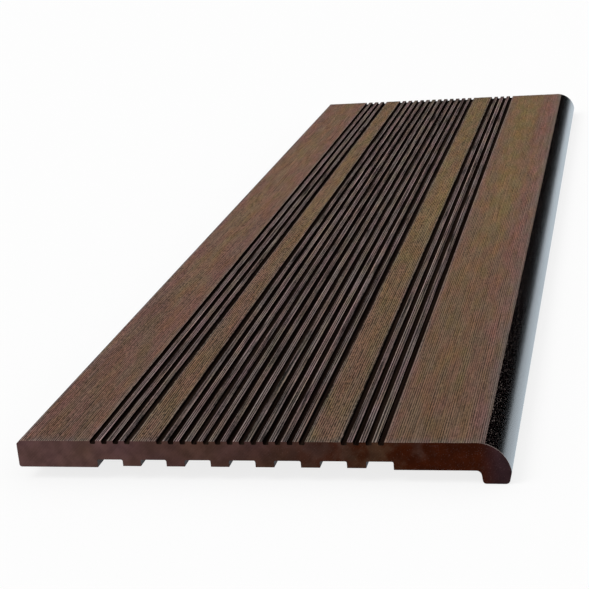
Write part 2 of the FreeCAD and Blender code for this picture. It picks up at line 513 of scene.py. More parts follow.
class Graph:
    """Short calls that add nodes to one node tree and join them."""

    SEED_SPREAD = (1.0, 1.7, 0.6)

    def __init__(self, tree: bpy.types.NodeTree) -> None:
        """Keeps the tree that the nodes go into."""
        self.tree = tree

    def feed(self, socket: Socket, value: Value) -> None:
        """Joins an output to a socket, or sets the socket's own value.

        Args:
            socket: The input to feed.
            value: An output of another node, a number, a vector or a colour.
        """
        if isinstance(value, bpy.types.NodeSocket):
            self.tree.links.new(value, socket)
        elif socket.type == "RGBA":
            socket.default_value = (*value, 1.0)
        else:
            socket.default_value = value

    def node(
        self, kind: str, inputs: dict[str | int, Value] | None = None, **settings: object
    ) -> bpy.types.Node:
        """Adds one node.

        Args:
            kind: Blender's name of the node type.
            inputs: What feeds its sockets, by name or place.
            **settings: Settings of the node itself.

        Returns:
            The new node.
        """
        made = self.tree.nodes.new(kind)
        for name, setting in settings.items():
            setattr(made, name, setting)
        for name, value in (inputs or {}).items():
            self.feed(made.inputs[name], value)
        return made

    def math(self, operation: str, *values: Value, clamp: bool = False) -> Socket:
        """Adds one Math node.

        Args:
            operation: The node's operation.
            *values: Its inputs in order.
            clamp: Whether the result is held between 0 and 1.

        Returns:
            The result's socket.
        """
        inputs = dict(enumerate(values))
        made = self.node("ShaderNodeMath", inputs, operation=operation, use_clamp=clamp)
        return made.outputs[0]

    def vector(self, operation: str, inputs: dict[str | int, Value]) -> Socket:
        """Adds one Vector Math node."""
        return self.node("ShaderNodeVectorMath", inputs, operation=operation).outputs[0]

    def split(self, place: Value) -> tuple[Socket, ...]:
        """The coordinates of a place along the board, across it and up."""
        return tuple(self.node("ShaderNodeSeparateXYZ", {0: place}).outputs)

    def blend(self, share: Value, first: Value, second: Value) -> Socket:
        """Mixes two colours.

        Args:
            share: How much of the second colour shows.
            first: The colour at 0.
            second: The colour at 1.

        Returns:
            The mixed colour's socket.
        """
        inputs = {0: share, 6: first, 7: second}
        return self.node("ShaderNodeMix", inputs, data_type="RGBA").outputs[2]

    def scale(self, colour: Value, amount: Value) -> Socket:
        """Brightens or darkens a colour by a factor."""
        return self.vector("SCALE", {"Vector": colour, "Scale": amount})

    def tint(self, colour: Value, filtered: Value) -> Socket:
        """Multiplies two colours."""
        return self.vector("MULTIPLY", {0: colour, 1: filtered})

    def swing(self, level: Value, mask: Value, amount: Value) -> Socket:
        """Moves a level up and down with a mask.

        Args:
            level: The level where the mask is 0.5.
            mask: The mask, from 0 to 1.
            amount: How far apart the level's two ends are.

        Returns:
            The moved level's socket.
        """
        return self.math("MULTIPLY_ADD", self.math("SUBTRACT", mask, 0.5), amount, level)

    def ramp(
        self, value: Value, low: Value, high: Value, start: Value = 0.0, end: Value = 1.0
    ) -> Socket:
        """Maps a range to another with soft ends.

        Args:
            value: The value to map.
            low: Where the range begins.
            high: Where the range ends.
            start: Result at low.
            end: Result at high.

        Returns:
            The mapped value's socket.
        """
        inputs = {"Value": value, "From Min": low, "From Max": high, "To Min": start, "To Max": end}
        made = self.node("ShaderNodeMapRange", inputs, interpolation_type="SMOOTHSTEP")
        return made.outputs[0]

    def noise(self, place: Value, detail: float = 2.0, roughness: float = 0.5) -> Socket:
        """Adds a Noise Texture over coordinates that are already in cells.

        Args:
            place: Coordinates, one unit to a cell.
            detail: Layers of finer noise.
            roughness: Strength of the finer layers.

        Returns:
            The noise's value, about 0.5 on the mean.
        """
        inputs = {"Vector": place, "Scale": 1.0, "Detail": detail, "Roughness": roughness}
        return self.node("ShaderNodeTexNoise", inputs).outputs[0]

    def cells(self, place: Value, length: Value, width: Value, seed: float) -> Socket:
        """Scales object coordinates to cells that run along the board.

        Args:
            place: Object coordinates in metres.
            length: Length of a cell along the board in mm.
            width: Width of a cell across the board in mm.
            seed: Moves the pattern, so that two layers differ.

        Returns:
            Coordinates with one unit to a cell.
        """
        along = self.math("DIVIDE", 1.0 / MM, length)
        across = self.math("DIVIDE", 1.0 / MM, width)
        size = self.node("ShaderNodeCombineXYZ", {0: along, 1: across, 2: across}).outputs[0]
        shift = tuple(seed * spread for spread in self.SEED_SPREAD)
        return self.vector("MULTIPLY_ADD", {0: place, 1: size, 2: shift})


class PortKind(Enum):
    """The kinds of socket that an effect has."""

    VALUE = "NodeSocketFloat"
    COLOUR = "NodeSocketColor"
    PLACE = "NodeSocketVector"


@dataclass(frozen=True)
class Port:
    """One named input or output of an effect.

    Attributes:
        name: Name of the socket.
        kind: What the socket carries.
    """

    name: str
    kind: PortKind = PortKind.VALUE


class Effect(ABC):
    """A shader node group that several finishes place, built on first use.

    Attributes:
        name: Name of the node group.
        takes: Its inputs in order.
        gives: Its outputs in order.
    """

    name: str
    takes: tuple[Port, ...]
    gives: tuple[Port, ...]

    @abstractmethod
    def wire(self, graph: Graph, given: dict[str, Socket]) -> dict[str, Socket]:
        """Builds the inside of the group.

        Args:
            graph: The group's own nodes.
            given: The group's inputs by name.

        Returns:
            What feeds the group's outputs, by name.
        """

    def group(self) -> bpy.types.NodeTree:
        """The finished group."""
        return bpy.data.node_groups.get(self.name) or self.make()

    def make(self) -> bpy.types.NodeTree:
        """Builds the group with its named sockets.

        Returns:
            The new group.
        """
        tree = bpy.data.node_groups.new(self.name, "ShaderNodeTree")
        for way, ports in (("INPUT", self.takes), ("OUTPUT", self.gives)):
            for port in ports:
                tree.interface.new_socket(port.name, in_out=way, socket_type=port.kind.value)
        graph = Graph(tree)
        entry = graph.node("NodeGroupInput")
        made = self.wire(graph, {port.name: entry.outputs[port.name] for port in self.takes})
        graph.node("NodeGroupOutput", made)
        return tree

    def place(self, graph: Graph, *values: Value) -> dict[str, Socket]:
        """Places the group in a material or in another group.

        Args:
            graph: Where the group goes.
            *values: What feeds its inputs, in the order that it takes them.

        Returns:
            The placed group's outputs by name.
        """
        inputs = {port.name: value for port, value in zip(self.takes, values, strict=True)}
        node = graph.node("ShaderNodeGroup", inputs, node_tree=self.group(), label=self.name)
        return {port.name: node.outputs[port.name] for port in self.gives}


class GrainDashes(Effect):
    """Short and long dashes along the board, as brushing tears them out of the composite.

    Each short dash lies in a row of its own. The rows are dark and light by turns, deep in
    one place and faint in another, which leaves fine lines and no broad patches.
    """

    name = "grain_dashes"
    takes = (Port("Place", PortKind.PLACE), Port("Length"), Port("Width"), Port("Contrast"))
    gives = (Port("Dash"), Port("Streak"))

    STREAK_LENGTHS = 12.0
    STREAK_WIDTHS = 3.0
    STREAK_SEED = 17.3
    STREAK_GRIT = 0.6
    DASH_SEED = 3.1
    ROW_SEED = 7.31
    FAINTEST = 0.33
    UNEVEN = 2.0

    def wire(self, graph: Graph, given: dict[str, Socket]) -> dict[str, Socket]:
        """Builds the inside of the group.

        Args:
            graph: The group's own nodes.
            given: Place, Length and Width of a dash in mm, and Contrast.

        Returns:
            Dash and Streak, each from 0 to 1.
        """
        place, length, width = given["Place"], given["Length"], given["Width"]
        half = graph.math("DIVIDE", 0.5, given["Contrast"])
        low, high = graph.math("SUBTRACT", 0.5, half), graph.math("ADD", 0.5, half)
        streak_length = graph.math("MULTIPLY", length, self.STREAK_LENGTHS)
        streak_width = graph.math("MULTIPLY", width, self.STREAK_WIDTHS)
        streaks = graph.cells(place, streak_length, streak_width, self.STREAK_SEED)
        broad = graph.noise(streaks, roughness=self.STREAK_GRIT)
        along, across, up = graph.split(graph.cells(place, length, width, self.DASH_SEED))
        rows = graph.math("MULTIPLY_ADD", broad, self.UNEVEN, graph.math("ADD", across, up))
        row = graph.math("FLOOR", rows)
        lane = graph.math("MULTIPLY", row, self.ROW_SEED)
        spot = graph.node("ShaderNodeCombineXYZ", {0: along, 1: lane}).outputs[0]
        depth = graph.math("SUBTRACT", graph.noise(spot, detail=1.0), self.FAINTEST)
        side = graph.math("MULTIPLY_ADD", graph.math("PINGPONG", row, 1.0), 2.0, -1.0)
        fine = graph.math("MULTIPLY_ADD", side, depth, 0.5)
        return {"Dash": graph.ramp(fine, low, high), "Streak": graph.ramp(broad, low, high)}


class ToneDrift(Effect):
    """Slow changes of tone, as one run of composite gives way to the next.

    Each layer has a seed and the levels of noise where its mask begins and ends.
    """

    name = "tone_drift"
    takes = (Port("Place", PortKind.PLACE), Port("Length"), Port("Width"))
    gives = (Port("First"), Port("Second"))

    LAYERS = {"First": (21.6, 0.32, 0.69), "Second": (14.2, 0.36, 0.74)}

    def wire(self, graph: Graph, given: dict[str, Socket]) -> dict[str, Socket]:
        """Builds the inside of the group.

        Args:
            graph: The group's own nodes.
            given: Place, and Length and Width of a patch in mm.

        Returns:
            First and Second, two masks that differ.
        """
        masks: dict[str, Socket] = {}
        for name, (seed, low, high) in self.LAYERS.items():
            patches = graph.cells(given["Place"], given["Length"], given["Width"], seed)
            masks[name] = graph.ramp(graph.noise(patches), low, high)
        return masks


class FibreFlecks(Effect):
    """Small pale flecks of wood fibre that show through a plastic skin.

    The flecks are the peaks of fine noise above a level that falls as their share rises.
    The haze has its own length and width in mm, and its seed.
    """

    name = "fibre_flecks"
    takes = (Port("Place", PortKind.PLACE), Port("Length"), Port("Width"), Port("Share"))
    gives = (Port("Fleck"), Port("Haze"))

    FLECK_SEED = 11.9
    RARE_LEVEL = 0.78
    LEVEL_FALL = 0.3
    EDGE = 0.07
    HAZE = (60.0, 9.0, 41.0)
    HAZE_DETAIL = 3.0
    HAZE_GRIT = 0.6

    def wire(self, graph: Graph, given: dict[str, Socket]) -> dict[str, Socket]:
        """Builds the inside of the group.

        Args:
            graph: The group's own nodes.
            given: Place, Length and Width of a fleck in mm, and the Share of them.

        Returns:
            Fleck, a mask of the flecks, and Haze, a soft unevenness about 0.5.
        """
        place = given["Place"]
        specks = graph.cells(place, given["Length"], given["Width"], self.FLECK_SEED)
        fall = graph.math("MULTIPLY", given["Share"], self.LEVEL_FALL)
        floor = graph.math("SUBTRACT", self.RARE_LEVEL, fall)
        peak = graph.math("ADD", floor, self.EDGE)
        haze = graph.noise(graph.cells(place, *self.HAZE), self.HAZE_DETAIL, self.HAZE_GRIT)
        return {"Fleck": graph.ramp(graph.noise(specks, detail=1.0), floor, peak), "Haze": haze}


class BrushedComposite(Effect):
    """The brushed composite's colour, roughness and height.

    RUN and WIDTH are the places, in metres, between which the tones lean along the board and
    across it. Along RUN the colour also takes painted light, brighter towards the far end, and
    across WIDTH it grows a little brighter towards the rear edge. STREAM sizes are in metres
    too, and those of patches, dashes and lines in mm.
    """

    name = "brushed_composite"
    takes = (
        Port("Place", PortKind.PLACE),
        Port("Arris"),
        Port("Dash Width"),
        Port("Bite"),
        Port("Lines"),
        Port("Brown", PortKind.COLOUR),
        Port("Olive", PortKind.COLOUR),
        Port("Russet", PortKind.COLOUR),
        Port("Taupe", PortKind.COLOUR),
    )
    gives = (Port("Colour", PortKind.COLOUR), Port("Roughness"), Port("Height"))

    RUN = (-0.6, 0.2)
    WIDTH = (0.175, -0.175)
    # Painted light: brightness of the colour at the near and far places of RUN.
    PAINTED_LIGHT_ALONG = (0.955, 1.195)
    # Brightness of the colour at the rear and front places of WIDTH.
    SIDES = (1.05, 0.99)
    LEAN_ALONG = (0.0, 0.24)
    LEAN_ACROSS = (0.02, 0.34)
    STREAM_PITCH = 0.065
    STREAM_CREST = -0.115
    STREAM_SWING = 0.7
    PATCHES = (240.0, 26.0)
    OLIVE_PATCHES = 0.30
    RUSSET_PATCHES = 0.35
    RUSSET_TROUGHS = 0.40
    PALE_TROUGHS = 0.10
    MOTTLE = (45.0, 9.0)
    COOL_WARM = ((0.93, 1.032, 1.0), (1.07, 0.968, 1.0))
    ASHEN_SALLOW = ((1.0, 1.0, 1.12), (1.0, 1.0, 0.88))
    DASH_LENGTH = 5.0
    DASH_CONTRAST = 2.0
    LINE_LENGTH = 70.0
    LINE_WIDTH = 0.9
    LINE_CONTRAST = 2.0
    BITE_ACROSS = (1.65, 1.0)
    STREAKS = 0.25
    DEEPEST = 0.12
    DASH_HEIGHT = 0.6
    STREAK_HEIGHT = 0.4
    HEIGHTS = (0.1, 0.9)
    ROUGHNESS = (0.78, 0.6)

    def wire(self, graph: Graph, given: dict[str, Socket]) -> dict[str, Socket]:
        """Builds the inside of the group.

        Args:
            graph: The group's own nodes.
            given: Place, the Arris mask, the Dash Width in mm, the Bite of the short dashes
                and of the long Lines, and the four tones.

        Returns:
            Colour, Roughness and Height of the surface.
        """
        place, width = given["Place"], given["Dash Width"]
        along, across, _ = graph.split(place)
        drift = ToneDrift().place(graph, place, *self.PATCHES)
        mottle = ToneDrift().place(graph, place, *self.MOTTLE)
        grain = GrainDashes().place(graph, place, self.DASH_LENGTH, width, self.DASH_CONTRAST)
        drawn = GrainDashes().place(
            graph, place, self.LINE_LENGTH, self.LINE_WIDTH, self.LINE_CONTRAST
        )
        turn = 2 * math.pi / self.STREAM_PITCH
        stream = graph.math("MULTIPLY_ADD", across, turn, -self.STREAM_CREST * turn)
        stream = graph.math("COSINE", stream)
        crest = graph.math("MULTIPLY_ADD", stream, self.STREAM_SWING, 1.0)
        trough = graph.math("MULTIPLY", stream, -1.0, clamp=True)
        lean = graph.ramp(across, *self.WIDTH, *self.LEAN_ACROSS)
        lean = graph.math("ADD", lean, graph.ramp(along, *self.RUN, *self.LEAN_ALONG))
        lean = graph.math("MULTIPLY", lean, crest)
        olive = graph.swing(lean, drift["First"], self.OLIVE_PATCHES)
        russet = graph.math("MULTIPLY", trough, self.RUSSET_TROUGHS)
        russet = graph.math("MULTIPLY_ADD", drift["Second"], self.RUSSET_PATCHES, russet)
        tone = graph.blend(olive, given["Brown"], given["Olive"])
        tone = graph.blend(russet, tone, given["Russet"])
        tone = graph.blend(given["Arris"], tone, given["Taupe"])
        tone = graph.tint(tone, graph.blend(mottle["First"], *self.COOL_WARM))
        tone = graph.tint(tone, graph.blend(mottle["Second"], *self.ASHEN_SALLOW))
        # Painted light: the colour brightens towards the far end of the board. It is then
        # brightened a little towards the rear edge, and it is paler in the stream troughs.
        painted_light_and_tone = graph.ramp(along, *self.RUN, *self.PAINTED_LIGHT_ALONG)
        painted_light_and_tone = graph.math("MULTIPLY", painted_light_and_tone, graph.ramp(across, *self.WIDTH, *self.SIDES))
        pale = graph.math("MULTIPLY_ADD", trough, self.PALE_TROUGHS, 1.0)
        painted_light_and_tone = graph.math("MULTIPLY", painted_light_and_tone, pale)
        bite = graph.ramp(across, *self.WIDTH, *self.BITE_ACROSS)
        bite = graph.math("MULTIPLY", given["Bite"], bite)
        shade = graph.swing(1.0, grain["Dash"], bite)
        shade = graph.swing(shade, drawn["Dash"], given["Lines"])
        shade = graph.swing(shade, grain["Streak"], self.STREAKS)
        shade = graph.math("MAXIMUM", shade, self.DEEPEST)
        height = graph.math("MULTIPLY", grain["Streak"], self.STREAK_HEIGHT)
        height = graph.math("MULTIPLY_ADD", grain["Dash"], self.DASH_HEIGHT, height)
        return {
            "Colour": graph.scale(tone, graph.math("MULTIPLY", shade, painted_light_and_tone)),
            "Roughness": graph.ramp(height, *self.HEIGHTS, *self.ROUGHNESS),
            "Height": height,
        }


class Paint:
    """One new material with its nodes and its shader.

    Attributes:
        material: The material itself.
        graph: Its nodes.
        shader: Its Principled BSDF.
    """

    def __init__(self, name: str) -> None:
        """Starts the material.

        Args:
            name: Name of the material.
        """
        self.material = bpy.data.materials.new(name)
        self.material.use_nodes = True
        self.graph = Graph(self.material.node_tree)
        self.shader = self.material.node_tree.nodes["Principled BSDF"]

    def place(self) -> Socket:
        """Object coordinates in metres."""
        return self.graph.node("ShaderNodeTexCoord").outputs["Object"]

    def arris(self) -> Socket:
        """The mask that rises towards the grooves' mouths."""
        return self.graph.node("ShaderNodeAttribute", attribute_name=ARRIS_MASK).outputs["Fac"]

    def feed(self, values: dict[str, Value]) -> None:
        """Feeds the shader's sockets by name."""
        for name, value in values.items():
            self.graph.feed(self.shader.inputs[name], value)

    def bump(self, height: Value, depth: float) -> None:
        """Feeds the shader's normal from a height.

        Args:
            height: Height from 0 to 1.
            depth: Real depth of that range in mm.
        """
        inputs = {"Height": height, "Distance": depth * MM, "Strength": 1.0}
        self.feed({"Normal": self.graph.node("ShaderNodeBump", inputs).outputs[0]})


@dataclass(frozen=True)
class Finish(ABC):
    """One finish of the board, made as a material of the same name.

    Attributes:
        name: Name of the material.
    """

    name: str

    def material(self) -> bpy.types.Material:
        """Builds the finish's material.

        Returns:
            The new material.
        """
        paint = Paint(self.name)
        self.wire(paint)
        return paint.material

    @abstractmethod
    def wire(self, paint: Paint) -> None:
        """Joins the finish's nodes to its shader.

        Args:
            paint: The finish's material.
        """


@dataclass(frozen=True)
class BrushedFinish(Finish):
    """Brushed walking face, greyer towards the grooves.

    Attributes:
        brown: The common tone.
        olive: Tone of the yellower patches.
        russet: Tone of the redder patches.
        taupe: Tone beside the grooves.
        grey_reach: How far the mask lets the grey spread, from 0 to 1.
        line: Brightness of the lighter line along an arris.
        dash_width: Width of the brushed dashes in mm.
        bite: How far the short dashes darken and lighten the tones.
        lines: How far the long lines darken and lighten the tones.
        shine: Specular level.
        grain: Depth of the grain in mm.
    """

    brown: Colour = (0.130, 0.072, 0.051)
    olive: Colour = (0.160, 0.103, 0.044)
    russet: Colour = (0.146, 0.068, 0.049)
    taupe: Colour = (0.118, 0.098, 0.084)
    grey_reach: float = 0.65
    line: float = 1.25
    dash_width: float = 0.8
    bite: float = 0.9
    lines: float = 0.3
    shine: float = 0.12
    grain: float = 0.05

    # Range of the arris mask over which the colour brightens into that line.
    ARRIS_BRIGHT_SPAN = (0.62, 0.84)

    def tones(self, paint: Paint, place: Socket, mask: Socket) -> dict[str, Socket]:
        """Places the brushed composite with this finish's tones.

        Args:
            paint: The material that takes the tones.
            place: Object coordinates in metres.
            mask: The mask that rises towards the grooves' mouths.

        Returns:
            Colour, Roughness and Height.
        """
        grey = paint.graph.math("MULTIPLY", mask, self.grey_reach)
        tones = (self.brown, self.olive, self.russet, self.taupe)
        return BrushedComposite().place(
            paint.graph, place, grey, self.dash_width, self.bite, self.lines, *tones
        )

    def wire(self, paint: Paint) -> None:
        """Joins the brushed tones, the grey beside the grooves and the lighter lines along the
        arrises.

        Args:
            paint: The finish's material.
        """
        mask = paint.arris()
        made = self.tones(paint, paint.place(), mask)
        # The colour is brightened in a line along the grooves' mouths, the rear bevel and the sawn
        # ends.
        bright_arris = paint.graph.ramp(mask, *self.ARRIS_BRIGHT_SPAN, 1.0, self.line)
        paint.feed({
            "Base Color": paint.graph.scale(made["Colour"], bright_arris),
            "Roughness": made["Roughness"],
            "Specular IOR Level": self.shine,
        })
        paint.bump(made["Height"], self.grain)


@dataclass(frozen=True)
class NoseFinish(Finish):
    """Near-black glossy nose skin, worn through to the brushed composite at its rear, with a
    painted highlight along each sawn arris.

    Attributes:
        brushed: The brushed finish that it runs into.
        skin: Colour of the unbrushed skin.
        fleck: Colour of the fibre that shows through it, and of the painted highlight along each
            sawn arris.
        limit: Place across the board where brushing stops, in mm.
        fade: Width of the ragged edge, in mm.
        ragged: How far the edge wanders, in mm.
        density: The skin's index of refraction.
        wax: Strength of the clear film over the skin.
        wax_roughness: Roughness of that film.
        sawn_at: Where the board is sawn, from the middle of its length, in mm.
        bright_arris: Width of the painted highlight along a sawn arris, in mm.
    """

    brushed: BrushedFinish
    skin: Colour = (0.0022, 0.0005, 0.0008)
    fleck: Colour = (0.210, 0.165, 0.150)
    limit: float = -157.9
    fade: float = 0.8
    ragged: float = 2.0
    density: float = 1.6
    wax: float = 0.9
    wax_roughness: float = 0.24
    sawn_at: float = 600.0
    bright_arris: float = 1.6

    WANDER = (2.4, 0.9, 8.4)
    WANDER_DETAIL = 3.0
    WANDER_GRIT = 0.65
    FLECKS = (2.6, 0.7, 0.5)
    FLECK_SPAN = (-13.0, 2.0)
    HAZE = (0.3, 0.7)
    GLOSS = (0.225, 0.255)

    def wire(self, paint: Paint) -> None:
        """Joins the skin, its flecks and the ragged edge of the brushed face.

        Args:
            paint: The finish's material.
        """
        graph, place = paint.graph, paint.place()
        along, across, _ = graph.split(place)
        ragged, half = self.ragged * MM, self.fade / 2
        wander = graph.cells(place, *self.WANDER)
        wander = graph.noise(wander, self.WANDER_DETAIL, self.WANDER_GRIT)
        edge = graph.math("ADD", across, graph.math("MULTIPLY_ADD", wander, ragged, -ragged / 2))
        bare = graph.ramp(edge, (self.limit - half) * MM, (self.limit + half) * MM)
        made = self.brushed.tones(paint, place, paint.arris())
        flecks = FibreFlecks().place(graph, place, *self.FLECKS)
        near = graph.ramp(across, *((self.limit + gap) * MM for gap in self.FLECK_SPAN))
        shown = graph.math("MULTIPLY", flecks["Fleck"], near)
        # Painted highlight: a light line in the fleck colour along the skin's sawn arrises.
        reach = graph.math("ABSOLUTE", along)
        sawn = graph.ramp(reach, (self.sawn_at - self.bright_arris) * MM, self.sawn_at * MM)
        dark = graph.blend(graph.math("MAXIMUM", shown, sawn), self.skin, self.fleck)
        gloss = graph.ramp(flecks["Haze"], *self.HAZE, *self.GLOSS)
        rough = graph.math("SUBTRACT", made["Roughness"], gloss)
        paint.feed({
            "Base Color": graph.blend(bare, dark, made["Colour"]),
            "Roughness": graph.math("MULTIPLY_ADD", rough, bare, gloss),
            "IOR": self.density,
            "Coat Weight": graph.math("MULTIPLY_ADD", bare, -self.wax, self.wax),
            "Coat Roughness": self.wax_roughness,
        })
        paint.bump(graph.math("MULTIPLY", made["Height"], bare), self.brushed.grain)


@dataclass(frozen=True)
class SkinFinish(Finish):
    """Unbrushed skin as the die leaves it, with drawn lines and a little fibre.

    Attributes:
        tone: The skin's common colour.
        pale: Colour where dusting and rubbing have dulled it. In the grooves it is also the paler
            tone towards the floor, where the painted shade on the walls fades.
        fleck: Colour of the fibre that shows through it.
        share: How many flecks show, from 0 to 1.
        gloss: Lowest and highest roughness.
        shine: Specular level.
        shade_fade_from: Height where the painted shade on the groove walls begins to fade and the
            dulled patches begin to show, in mm.
        shade_fade_to: Height where that shade has faded and they show in full, in mm.
    """

    tone: Colour
    pale: Colour
    fleck: Colour
    share: float
    gloss: Point
    shine: float
    shade_fade_from: float = -2.0
    shade_fade_to: float = -1.0

    FLECK_SIZE = (2.4, 0.7)
    LINES = (60.0, 0.8, 1.8)
    DULLEST = 0.7
    LINE_DEPTH = 0.03

    def wire(self, paint: Paint) -> None:
        """Joins the drawn lines, the dulled patches and the flecks, and for the grooves paints
        shade onto the walls.

        Args:
            paint: The finish's material.
        """
        graph, place = paint.graph, paint.place()
        flecks = FibreFlecks().place(graph, place, *self.FLECK_SIZE, self.share)
        lines = GrainDashes().place(graph, place, *self.LINES)
        dulling_and_shade_fade = graph.math("MULTIPLY", flecks["Haze"], lines["Streak"])
        # Painted shade: the plain tone stays high on the groove walls and gives way to the paler
        # tone towards the groove floor. The moulded skin's heights leave no such shade.
        up = graph.split(place)[2]
        painted_shade_fade = graph.ramp(up, self.shade_fade_from * MM, self.shade_fade_to * MM)
        dulling_and_shade_fade = graph.math("MULTIPLY", dulling_and_shade_fade, painted_shade_fade)
        tone = graph.blend(dulling_and_shade_fade, self.tone, self.pale)
        paint.feed({
            "Base Color": graph.blend(flecks["Fleck"], tone, self.fleck),
            "Roughness": graph.ramp(dulling_and_shade_fade, 0.0, self.DULLEST, *self.gloss),
            "Specular IOR Level": self.shine,
        })
        paint.bump(lines["Dash"], self.LINE_DEPTH)


@dataclass(frozen=True)
class SawnFinish(Finish):
    """Sawn end: fine mottled composite with faint saw marks.

    Attributes:
        mauve: The greyer tone.
        bark: The middle tone.
        umber: The darker, redder tone.
        lip: The greyer tone of the lip.
        fleck: Colour of the cut fibre.
        plum: Tint of the bluer patches.
        sallow: Tint of the yellower patches.
        shine: Specular level.
    """

    mauve: Colour = (0.088, 0.0460, 0.0405)
    bark: Colour = (0.0475, 0.0218, 0.0142)
    umber: Colour = (0.0320, 0.0060, 0.0014)
    lip: Colour = (0.029, 0.0140, 0.0145)
    fleck: Colour = (0.085, 0.050, 0.040)
    plum: Colour = (1.0, 0.98, 1.16)
    sallow: Colour = (1.0, 1.02, 0.82)
    shine: float = 0.02

    PATCHES = (60.0, 60.0)
    CLOUDS = (11.0, 11.0)
    FLECKS = (0.9, 0.9, 0.5)
    MARKS = (14.0, 1.2, 1.7)
    LEAN_SPAN = (-0.125, 0.19)
    PATCH_LEAN = -0.10
    CLOUD_LEAN = 0.18
    BARK_AT = 0.22
    MAUVE_AT = 0.95
    LIP_SPAN = (-0.152, -0.170)
    FLECK_STRENGTH = 0.35
    BASE_SHADE = 0.84
    CLOUD_SHADE = 0.36
    MARK_SHADE = 0.08
    ROUGHNESS = (0.75, 0.9)
    MARK_DEPTH = 0.05

    def wire(self, paint: Paint) -> None:
        """Joins the mottling, the flecks and the saw marks.

        Args:
            paint: The finish's material.
        """
        graph, place = paint.graph, paint.place()
        patch = ToneDrift().place(graph, place, *self.PATCHES)
        cloud = ToneDrift().place(graph, place, *self.CLOUDS)
        flecks = FibreFlecks().place(graph, place, *self.FLECKS)
        marks = GrainDashes().place(graph, place, *self.MARKS)
        across = graph.split(place)[1]
        # The tone is paler and greyer towards the rear edge and darker and redder towards the nose,
        # with patches and clouds over that lean.
        lean = graph.ramp(across, *self.LEAN_SPAN)
        lean = graph.math("MULTIPLY_ADD", patch["First"], self.PATCH_LEAN, lean)
        lean = graph.math("MULTIPLY_ADD", cloud["Second"], self.CLOUD_LEAN, lean, clamp=True)
        tone = graph.blend(graph.ramp(lean, 0.0, self.BARK_AT), self.umber, self.bark)
        rise = 1.0 / (self.MAUVE_AT - self.BARK_AT)
        paler = graph.math("MULTIPLY_ADD", lean, rise, -self.BARK_AT * rise, clamp=True)
        tone = graph.blend(paler, tone, self.mauve)
        tone = graph.blend(graph.ramp(across, *self.LIP_SPAN), tone, self.lip)
        fibre = graph.math("MULTIPLY", flecks["Fleck"], self.FLECK_STRENGTH)
        tone = graph.blend(fibre, tone, self.fleck)
        tone = graph.tint(tone, graph.blend(patch["Second"], self.plum, self.sallow))
        shade = graph.math("MULTIPLY_ADD", cloud["First"], self.CLOUD_SHADE, self.BASE_SHADE)
        shade = graph.math("MULTIPLY_ADD", marks["Dash"], self.MARK_SHADE, shade)
        paint.feed({
            "Base Color": graph.scale(tone, shade),
            "Roughness": graph.ramp(cloud["First"], 0.0, 1.0, *self.ROUGHNESS),
            "Specular IOR Level": self.shine,
        })
        paint.bump(marks["Dash"], self.MARK_DEPTH)


